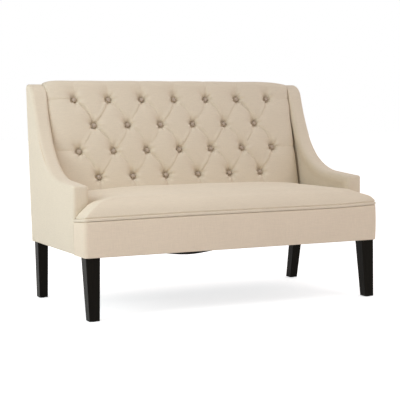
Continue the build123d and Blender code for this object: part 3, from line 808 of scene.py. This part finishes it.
def seat(material):
    """Tight seat: the solid's form, remeshed, eased and swollen by pressure."""
    piece = copied("seat_top", "seat_cushion", material)
    modified(piece, "REMESH", mode="VOXEL", voxel_size=SEAT_VOXEL)
    modified(piece, "SMOOTH", factor=0.5, iterations=6)
    held = positions(piece)[:, 2] < WELT_TOP + SEAT_HELD
    pressurised(piece, SEAT_CAP, held)
    modified(piece, "SMOOTH", factor=0.5, iterations=4)
    points = positions(piece)
    points[:, 2] += waviness(points, 0.22, 0.0022, seed=3.0) * rise(points[:, 2], WELT_TOP, WELT_TOP + 0.05)
    set_positions(piece, seat_corners(points))
    modified(piece, "SUBSURF", levels=1)
    draw_in_seam(piece)
    dress(piece, material)
    piece.data.shade_smooth()
    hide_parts("seat_cushion")


# -------- tufted back
BUTTON_ROWS = (6, 7, 6, 7)  # from the seat upwards
BUTTON_PITCH = 0.1615
ROW_PITCH = 0.117
FIRST_ROW = 0.0604
BUTTON_R = 0.0115
BUTTON_SINK = 0.026
DIMPLE_DEPTH = 0.033
DIMPLE_R = 0.0125
DIMPLE_SPREAD = 0.0085
TUFT_SEED = 11

# Depths of a pleat at its start, middle and end, and for the diagonal ones a sideways bow
RIGHT_PLEAT = ((0.007, 0.0011, 0.007), -0.008)  # upwards to the right
LEFT_PLEAT = ((0.012, 0.0062, 0.012), 0.014)
SEAT_PLEAT = (0.010, 0.005, 0.005)
TOP_PLEAT = (0.009, 0.0015, 0.0005)
SIDE_PLEAT = (0.009, 0.002, 0.004)
FOLD_FLOOR = 0.0008  # half width of a fold's rounded floor
LIP_HEIGHT = 0.0027  # bulge of the cloth along the upper side of a fold
LIP_PLACE = 0.009
LIP_WIDTH = 0.0075

# Small folds that leave a button
SMALL_FOLD_WIDTH = 0.0019
SMALL_FOLD_FADE = 0.014
UPWARD_FOLD = 0.0042
SIDEWAYS_FOLD = 0.0032
SIDEWAYS_REACH = 0.034

# The pad round its tufts
TUFT_GRID = 0.0023
PILLOW_PROUD = 0.003
PILLOW_CROWN = 0.0045
PILLOW_REACH = 0.062  # from a fold to a pillow's middle
BORDER = (0.0, 0.0005, 0.0012, 0.0021, 0.0032, 0.0045, 0.006, 0.008)  # columns beside each seam
BORDER_WIDTH = 0.010
PUCKER_PITCH = 0.0135
SIDE_DRAW_END = (0.478, 0.628)  # up the face, where the draw towards the wings fades
PAD_GAP = 0.0090  # open seam between the pad and each wing
WIDENED_FROM = 0.505  # the pad is only widened beyond its outermost buttons
CREVICE_END = ARM_IN + 0.0084  # where the pad's sides meet the wings, deep behind its face
PAD_THICKNESS = 0.045
TOP_THICKNESS = 0.018


def button_places():
    """Button centres (x, distance up the raked face), row by row from the seat upwards."""
    rows = []
    for r, count in enumerate(BUTTON_ROWS):
        up = FIRST_ROW + r * ROW_PITCH
        rows.append([((i - (count - 1) / 2) * BUTTON_PITCH, up) for i in range(count)])
    return rows


def pleat_list(random):
    """Every pleat: start, end, its three depths, and sideways bow."""
    rows = button_places()
    pleats = []
    for low_row, high_row in zip(rows, rows[1:]):
        for a in low_row:
            for b in high_row:
                if abs(abs(a[0] - b[0]) - BUTTON_PITCH / 2) < 0.001:
                    depths, bow = RIGHT_PLEAT if b[0] > a[0] else LEFT_PLEAT
                    pleats.append((a, b, depths, random.uniform(-0.005, 0.005) + bow))
    for x, up in rows[0]:
        pleats.append(((x, up), (x, up - 0.09), SEAT_PLEAT, random.uniform(-0.003, 0.003)))
    for x, up in rows[-1]:
        pleats.append(((x, up), (x, up + 0.13), TOP_PLEAT, random.uniform(-0.003, 0.003)))
    for row in rows:
        if len(row) == max(BUTTON_ROWS):
            for x, up in (row[0], row[-1]):
                end = (math.copysign(PAD_HALF, x), up + random.uniform(-0.004, 0.006))
                pleats.append(((x, up), end, SIDE_PLEAT, random.uniform(-0.003, 0.003)))
    return pleats


def pleat_fold(pleat, strength, x, up):
    """Depth of one pleat, height of the lip along it, and the distance of each point to it."""
    start, end, depths, bow = pleat
    dx, dy = end[0] - start[0], end[1] - start[1]
    length = math.hypot(dx, dy)
    ux, uy = dx / length, dy / length
    turned = -1 if ux < 0 or (ux == 0 and uy < 0) else 1
    t = ((x - start[0]) * ux + (up - start[1]) * uy) / length
    along = np.clip(t, 0, 1)
    side = turned * ((up - start[1]) * ux - (x - start[0]) * uy) - bow * np.sin(math.pi * along)
    beyond = (t - along) * length
    gap = np.hypot(side, beyond)
    floor = strength * np.interp(along, (0, 0.5, 1), depths)
    width = np.where(side > 0, 0.0036, 0.0040 if ux > 0 else 0.0066)
    soft = np.sqrt(gap**2 + FOLD_FLOOR**2) - FOLD_FLOOR
    lip = 0.0
    if ux > 0 and uy > 0.5:
        lip = LIP_HEIGHT * strength * np.sin(math.pi * along) ** 2 * bell(side, LIP_PLACE, LIP_WIDTH)
    return floor * np.exp(-soft / width), lip * (beyond == 0), gap


def small_fold(depth, across, along, reach):
    """A narrow groove that runs from a button to its reach."""
    fade = rise(along, reach, reach - SMALL_FOLD_FADE)
    return depth * bell(across, 0, SMALL_FOLD_WIDTH) * (along > 0) * fade


def button_funnel(random, dx, dy, in_top_row):
    """Depth of the dimple at one button, with its spokes and the small folds that leave it."""
    turn = np.arctan2(dy, dx)
    spokes = random.integers(5, 8)
    spread = 0.9 + 0.28 * np.cos(spokes * turn + random.uniform(0, math.tau))
    spread += random.uniform(0.8, 1.6) * bell(turn, random.uniform(1.7, 2.5), 0.8)
    funnel = DIMPLE_DEPTH * np.exp(-np.maximum(np.hypot(dx, dy) - DIMPLE_R, 0) / (DIMPLE_SPREAD * spread))
    for _ in range(3):
        reach, shift = random.uniform(0.020, 0.034), random.uniform(-0.009, 0.009)
        if in_top_row:
            reach += 0.008
        funnel = np.maximum(funnel, small_fold(UPWARD_FOLD, dx - shift - 0.1 * dy, dy, reach))
    if random.uniform() < 0.5:
        way = 1 if random.uniform() < 0.6 else -1
        funnel = np.maximum(funnel, small_fold(SIDEWAYS_FOLD, dy + 0.1 * dx, way * dx, SIDEWAYS_REACH))
    return funnel


def tuft_depth(x, up):
    """How deep the tufted face lies below its pillows' tops, and how near each point is to a fold."""
    random = np.random.default_rng(TUFT_SEED)
    depth = np.zeros_like(x)
    nearest = np.full_like(x, 1.0)
    lips = np.zeros_like(x)
    for pleat in pleat_list(random):
        fold, lip, gap = pleat_fold(pleat, random.uniform(0.45, 1.35), x, up)
        depth = np.maximum(depth, fold)
        lips = np.maximum(lips, lip)
        nearest = np.minimum(nearest, gap)
    rows = button_places()
    for row in rows:
        for bx, bu in row:
            funnel = button_funnel(random, x - bx, up - bu, row is rows[-1])
            depth = np.maximum(depth, funnel) + 0.25 * np.minimum(depth, funnel)
            nearest = np.minimum(nearest, np.hypot(x - bx, up - bu))
    return depth - lips, nearest


def pad_profile():
    """Side profile of the back pad as arc length, points and outward normals, from its foot over the top."""
    front = [(pad_y(z), z) for z in (PAD_BOTTOM, PAD_TOP)]
    rear = [(rear_y(z), z) for z in (PAD_TOP, PANEL_TOP)]
    line = np.array(rounded_line(*front, *rear, (PAD_FRONT_R, PAD_REAR_R), (14, 10)))
    reach = np.concatenate(([0], np.cumsum(np.linalg.norm(np.diff(line, axis=0), axis=1))))
    s = np.linspace(0, reach[-1], int(reach[-1] / TUFT_GRID))
    points = np.stack([np.interp(s, reach, line[:, k]) for k in (0, 1)], axis=1)
    return s, points, -right_normals(np.gradient(points, axis=0))


def face_relief(x, up, over, side_gap):
    """How far the tufted face stands out from the pad's profile, less so where it goes over the top."""
    depth, nearest = tuft_depth(x, up)
    pucker = 0.5 + 0.5 * np.cos(math.tau * up / PUCKER_PITCH + 2 * np.sin(up / 0.05))
    side_draw = 0.003 + 0.013 * rise(up, SIDE_DRAW_END[1], SIDE_DRAW_END[0])
    proud = PILLOW_PROUD + 0.0012 * np.sin(1.7 * x / 0.09 + 2 * np.sin(up / 0.09))
    proud -= PILLOW_CROWN * (1 - rise(nearest, 0, PILLOW_REACH)) ** 2
    proud -= side_draw * np.exp(-side_gap / 0.03) + 0.0018 * pucker * np.exp(-side_gap / 0.013)
    return proud * (1 - over) - depth * (1 - 0.8 * over) - 0.004 * np.exp(-side_gap / 0.0028)


def lowered_ends(x, z):
    """Height of the top, which falls towards both ends, from further in at the right."""
    drop = 0.014 * rise(x, 0.47, 0.61) ** 1.6 + 0.0015 * rise(x, 0, 0.4) + 0.011 * rise(-x, 0.555, 0.600) ** 2
    return z - drop * rise(z, 0.88, 0.95)


def widening(x, z, over, half):
    """How much further out each point lies, so that the seam beside the wings narrows upwards."""
    spread = np.where(x < 0, 0.001 + 0.005 * rise(z, 0.70, 0.80), 0.0045)
    spread += 0.006 * rise(z, 0.80, 0.90) + 0.006 * over
    limit = PAD_GAP + np.where(x < 0, 0.0008 + 0.0022 * over, -0.0014 + 0.0044 * over)
    return np.minimum(spread, limit) * rise(np.abs(x), WIDENED_FROM, half)


def tufted_back(material):
    """Tufted inside back, rolled over the top to the seam of the outside back, with its sides and rear."""
    s, line, normals = pad_profile()
    half = ARM_IN - PAD_GAP
    border = half - np.array(BORDER)
    inner_half = half - BORDER_WIDTH
    inner = np.linspace(-inner_half, inner_half, int(2 * inner_half / TUFT_GRID))
    xs = np.concatenate((-border, inner, border[::-1]))
    x, up = np.meshgrid(xs, s - (PAD_FACE[1] - PAD_BOTTOM) / math.cos(PAD_RAKE))
    roll_start = (PAD_TOP - PAD_FACE[1]) / math.cos(PAD_RAKE) - 0.03
    over = rise(up, roll_start, roll_start + 0.06)
    out = face_relief(x, up, over, half - np.abs(x))
    y = line[:, :1] + normals[:, :1] * out
    z = lowered_ends(x, line[:, 1:] + normals[:, 1:] * out)
    wider = widening(x, z, over, half)
    rows, columns = x.shape
    vertices = list(np.stack((x + np.sign(x) * wider, y, z), axis=-1).reshape(-1, 3))
    faces = grid_faces(rows, columns)
    left, right = len(vertices), len(vertices) + rows
    thickness = PAD_THICKNESS + (TOP_THICKNESS - PAD_THICKNESS) * over[:, :1]
    inside = line - normals * thickness
    for side, column, base in ((-1, 0, left), (1, columns - 1, right)):
        for r in range(rows):
            vertices.append((side * max(half + wider[r, column], CREVICE_END), *inside[r]))
        for r in range(rows - 1):
            a, b = r * columns + column, (r + 1) * columns + column
            faces.append((a, b, base + r + 1, base + r))
    for r in range(rows - 1):
        faces.append((left + r, left + r + 1, right + r + 1, right + r))
    faces.append(tuple(range(columns)) + (right, left))
    last = (rows - 1) * columns
    faces.append(tuple(range(last, last + columns)) + (right + rows - 1, left + rows - 1))
    piece = new_piece("tufted_back", vertices, faces, material)
    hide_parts("back_pad")


# Radius, in button radii, and height of a button's face, from its root to its crown
BUTTON_FACE = (
    (0.3, 0.0), (0.74, 0.0006), (0.86, 0.0022), (0.85, 0.0042),
    (0.78, 0.0062), (0.62, 0.0082), (0.42, 0.0094), (0.2, 0.0100),
)
BUTTON_CROWN = 0.0102
BUTTON_SIDES = 40
GATHERS = 13  # folds of the cloth round a button's rim
GATHER_DEPTH = 0.018


def back_buttons(material):
    """Covered buttons: a domed face with a gathered rim, one in each dimple."""
    tilt = Matrix.Rotation(-PAD_RAKE, 3, "X")
    root = BUTTON_SINK - PILLOW_PROUD
    vertices, faces = [], []
    for x, up in sum(button_places(), []):
        z = PAD_FACE[1] + up * math.cos(PAD_RAKE)
        centre = Vector((x, pad_y(z), z))
        start = len(vertices)
        for radius, out in BUTTON_FACE:
            for k in range(BUTTON_SIDES):
                a = math.tau * k / BUTTON_SIDES
                gather = 1 + GATHER_DEPTH * math.cos(GATHERS * a) * (out < 0.005)
                spot = Vector((math.cos(a), 0, math.sin(a))) * radius * gather * BUTTON_R
                spot.y = root - out
                vertices.append(centre + tilt @ spot)
        faces += shifted(grid_faces(len(BUTTON_FACE), BUTTON_SIDES, closed=True), start)
        faces.append(tuple(range(start, start + BUTTON_SIDES)))
        crown = len(vertices)
        vertices.append(centre + tilt @ Vector((0, root - BUTTON_CROWN, 0)))
        top = crown - BUTTON_SIDES
        faces += [(top + k, top + (k + 1) % BUTTON_SIDES, crown) for k in range(BUTTON_SIDES)]
    piece = new_piece("covered_buttons", vertices, faces, material)
    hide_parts("back_buttons")


# -------- suspension and underside
def softened_copy(name, node, material, sag=0.0, cell=0.04):
    """Copy of straps or cloth, cut into cells and sagged between its fixed edges."""
    piece = copied(name, node, material)
    bm = bmesh.new()
    bm.from_mesh(piece.data)
    bmesh.ops.triangulate(bm, faces=bm.faces)
    low, high = (Vector(corner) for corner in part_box(node))
    for axis in range(2):
        normal = Vector((axis == 0, axis == 1, 0))
        count = max(int((high[axis] - low[axis]) / cell), 1)
        for i in range(1, count):
            plane = Vector((0, 0, 0))
            plane[axis] = low[axis] + (high[axis] - low[axis]) * i / count
            geometry = bm.verts[:] + bm.edges[:] + bm.faces[:]
            bmesh.ops.bisect_plane(bm, geom=geometry, plane_co=plane, plane_no=normal)
    for vertex in bm.verts:
        u = (vertex.co.x - low.x) / (high.x - low.x)
        v = (vertex.co.y - low.y) / (high.y - low.y)
        vertex.co.z -= sag * 16 * u * (1 - u) * v * (1 - v)
    bm.to_mesh(piece.data)
    bm.free()
    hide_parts(node)
    return piece


def suspension(strap_material, cloth_material):
    """Straps of seat and back, and the cloth that lies over the seat's straps."""
    for part in ("seat", "seat_cross", "back"):
        softened_copy(f"{part}_straps", f"{part}_webbing", strap_material)
    deck = softened_copy("deck_sheet", "seat_deck_cloth", cloth_material)


DROOP = 0.016  # loose stretch of the front edge
DROOP_SPAN = (-0.385, -0.055)
DROOP_REACH = 0.12


def dust_cover(material):
    """Thin black cloth under the frame, stapled at its edges and sagging in between."""
    cover = softened_copy("dust_sheet", "dust_cover", material, sag=0.009, cell=0.03)
    low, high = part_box("dust_cover")
    points = positions(cover)
    along = np.sin(math.pi * rise(points[:, 0], *DROOP_SPAN)) ** 1.5
    points[:, 2] -= DROOP * along * np.exp(-(points[:, 1] - low[1]) / DROOP_REACH)
    set_positions(cover, points)


# -------- materials of the kept solids
def both(*stems):
    """Names of the left and the right node of each kind."""
    return [f"{stem}_{side}" for stem in stems for side in ("left", "right")]


def dress_nodes():
    """Give every solid that no piece replaces its own material."""
    leg = stained_leg("leg_stain", LEG_STAIN)
    pine_x, pine_y, pine_z = (timber(f"pine_along_{axis.lower()}", PINE, axis) for axis in "XYZ")
    birch = plywood("birch_ply", BIRCH)
    zinc = metal("zinc_steel", STEEL, 0.38)
    bolt = metal("bolt_steel", shade(STEEL, 0.85), 0.32)
    glide = plastic("glide_plastic", BLACK_PLASTIC)
    table = {
        leg: both("leg_front", "leg_rear"),
        pine_x: ["front_rail", "rear_rail", "back_top_rail", "back_lower_rail"],
        pine_y: both("side_rail", "seat_stretcher"),
        pine_z: both("arm_post", "back_upright") + ["corner_blocks"],
        birch: both("arm_panel", "back_post"),
        zinc: ["leg_plates"],
        bolt: ["leg_bolts"],
        glide: ["foot_glides"],
    }
    for material, names in table.items():
        for name in names:
            node = frame["nodes"][name]
            node.data.materials.clear()
            node.data.materials.append(material)


# -------- stage, light and camera
CAMERA_PLACE = (-2.181, -4.493, 0.8303)
CAMERA_YAW = 25.82  # degrees, from +Y towards +X
CAMERA_PITCH = 4.604  # degrees below the horizon
CAMERA_ROLL = -0.388
CAMERA_LENS = 102.23  # millimetres on a 36 mm sensor
SENSOR = 36.0
VIEW_END = 60.0


def camera():
    data = bpy.data.cameras.new("camera")
    data.lens = CAMERA_LENS
    data.sensor_width = SENSOR
    data.clip_end = VIEW_END
    item = new_object("camera", data)
    angles = ((-CAMERA_YAW, "Z"), (90 - CAMERA_PITCH, "X"), (CAMERA_ROLL, "Z"))
    turn, tip, roll = (Matrix.Rotation(math.radians(angle), 3, axis) for angle, axis in angles)
    item.matrix_world = Matrix.Translation(CAMERA_PLACE) @ (turn @ tip @ roll).to_4x4()
    bpy.context.scene.camera = item


def softbox(name, place, size, power, color, aim=0.5):
    """Rectangular lamp that points at the middle of the settee, at the height of its aim."""
    data = bpy.data.lights.new(name, "AREA")
    data.shape = "RECTANGLE"
    data.size, data.size_y = size
    data.energy = power
    data.color = color
    item = new_object(name, data)
    item.location = place
    item.rotation_euler = (Vector((0.0, 0.0, aim)) - Vector(place)).to_track_quat("-Z", "Y").to_euler()


def lights():
    softbox("key_left", (-2.87, -0.77, 1.70), (1.0, 1.0), 22.0, (0.93, 1.0, 1.0))
    softbox("key_high_left", (-2.31, -1.23, 2.34), (0.8, 0.8), 12.5, (0.94, 1.0, 1.0))
    softbox("front_left", (-2.01, -3.34, 2.07), (0.6, 0.6), 8.8, (1.0, 0.84, 0.77))
    softbox("front_right", (2.09, -3.35, 1.94), (1.4, 1.2), 16.3, (1.0, 0.90, 0.87))
    softbox("rim_left", (-3.0, 1.1, 0.85), (1.8, 1.5), 16.0, (0.94, 1.0, 1.0), aim=0.55)
    softbox("rear_fill", (0.8, 4.2, 1.3), (2.4, 1.6), 16.0, (1.0, 0.97, 0.95))


SKY_STRENGTH = 0.86
SKY_COLOR = (1.0, 0.925, 0.912, 1.0)
WHITE = (1.0, 1.0, 1.0, 1.0)
FLOOR_COLOR = (0.86, 0.86, 0.86, 1.0)
FLOOR_LIFT = (0.645, 0.655, 0.66, 1.0)
FLOOR_REACH = 25.0


def world():
    """Soft light that comes mostly from above and the right, and plain white behind the settee."""
    scene_world = bpy.data.worlds.new("studio")
    scene_world.use_nodes = True
    n = Graph(scene_world.node_tree)
    split = n.add("ShaderNodeSeparateXYZ", n.add("ShaderNodeTexCoord").outputs["Generated"])
    above = n.math("POWER", n.math("MULTIPLY_ADD", split.outputs["Z"], 0.5, 0.5), 2.0)
    from_right = n.math("MULTIPLY_ADD", split.outputs["X"], SKY_STRENGTH, SKY_STRENGTH)
    dim = n.add("ShaderNodeBackground", Color=SKY_COLOR, Strength=n.math("MULTIPLY", above, from_right))
    bright = n.add("ShaderNodeBackground", Color=WHITE, Strength=1.0)
    n.add("ShaderNodeOutputWorld", Surface=n.white_to_camera(dim.outputs[0], bright.outputs[0]))
    bpy.context.scene.world = scene_world


def floor():
    """Pale floor that keeps the settee's soft shadow."""
    n = Surface("studio_floor")
    n.gloss(0.9, 0.1, Base_Color=FLOOR_COLOR)
    dim = n.shader.outputs["BSDF"]
    lift = n.add("ShaderNodeEmission", Color=FLOOR_LIFT).outputs["Emission"]
    bright = n.add("ShaderNodeAddShader", dim, lift).outputs["Shader"]
    n.set(n.output, Surface=n.white_to_camera(dim, bright))
    r = FLOOR_REACH
    mesh = bpy.data.meshes.new("floor")
    mesh.from_pydata([(-r, -r, 0), (r, -r, 0), (r, r, 0), (-r, r, 0)], [], [(0, 1, 2, 3)])
    mesh.materials.append(n.material)
    item = new_object("floor", mesh)


# -------- build
linen_cover = linen("linen_cover", LINEN)
# apron cloth: the cover linen with painted light
linen_apron_painted_light = linen("linen_apron_painted_light", LINEN_APRON_PAINTED_LIGHT)
# seat cloth: the cover linen with painted top light
linen_seat_painted_top_light = linen("linen_seat_painted_top_light", LINEN_SEAT_PAINTED_TOP_LIGHT)
# button cloth: the cover linen with painted shade
linen_button_painted_shade = linen("linen_button_painted_shade", LINEN_BUTTON_PAINTED_SHADE)

dress_nodes()
suspension(strap_cloth("elastic_web", ELASTIC, STRAP_PITCH), strap_cloth("deck_cotton", COTTON, DECK_PITCH))
dust_cover(strap_cloth("dust_cloth", BLACK_CLOTH, DUST_PITCH))
arm_covers(linen_cover)
outside_back(linen_cover)
apron(linen_apron_painted_light)
welt(linen_cover)
seat(linen_seat_painted_top_light)
tufted_back(linen_cover)
back_buttons(linen_button_painted_shade)
camera()
lights()
world()
floor()
bpy.context.scene.view_settings.view_transform = "Standard"
